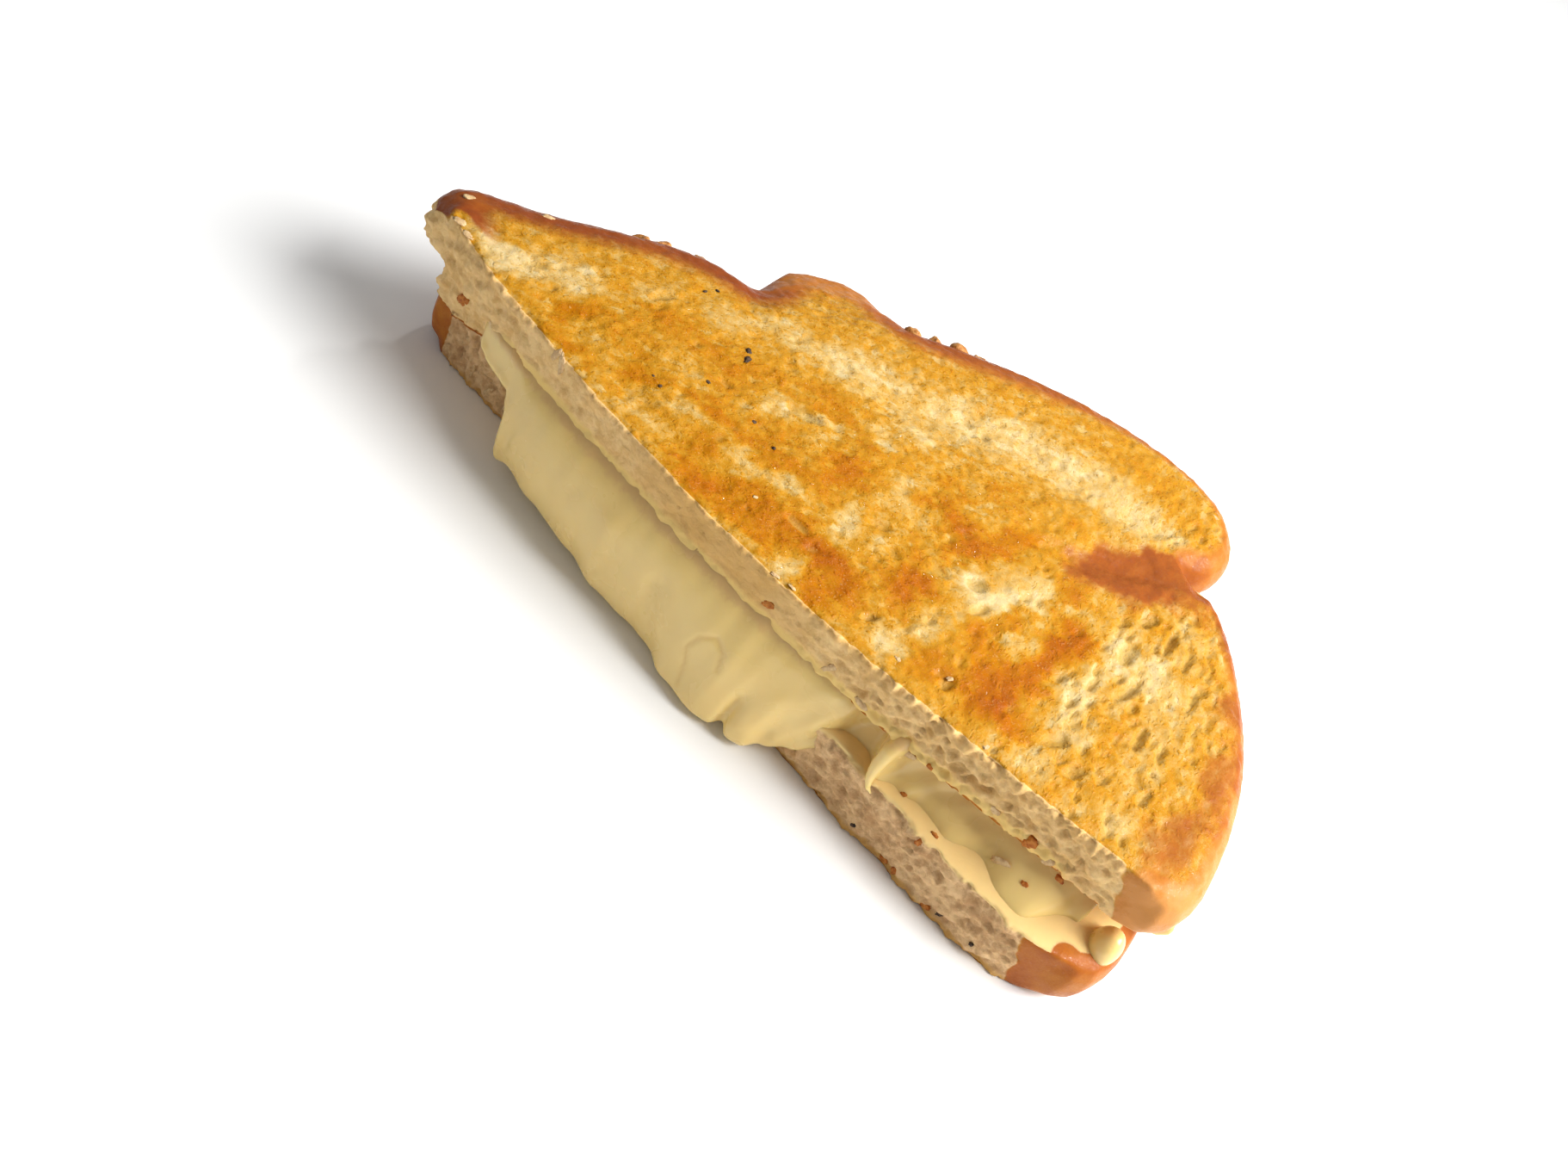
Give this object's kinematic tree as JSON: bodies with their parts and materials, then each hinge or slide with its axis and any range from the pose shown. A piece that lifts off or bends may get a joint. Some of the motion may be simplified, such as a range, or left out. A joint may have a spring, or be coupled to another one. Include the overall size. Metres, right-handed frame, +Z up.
{
  "type": "grilled cheese sandwich half",
  "caption": "Diagonal half of a toasted sandwich: browned slices of domed loaf with melted cheese bulging and dripping out of the cut face.",
  "frame": {"origin": "under the middle of the half's box, on the surface the bottom slice rests on", "axes": "+X along the cut towards its blunt end, +Y from the cut face to the crust, +Z up"},
  "size_m": [0.1672, 0.1066, 0.0316],
  "materials": {
    "toasted_bread": "bread fried golden in butter, mottled orange-brown with paler pits, darker red-brown crust",
    "bread_crumb": "soft pale bread crumb with pores, brown crust on its rim and underside",
    "melted_cheese": "smooth, slightly glossy pale yellow melted cheese with folds and threads"
  },
  "bodies": {
    "root": {"top_slice": "toasted_bread", "cheese": "melted_cheese", "bottom_slice": "bread_crumb"}
  },
  "joints": []
}
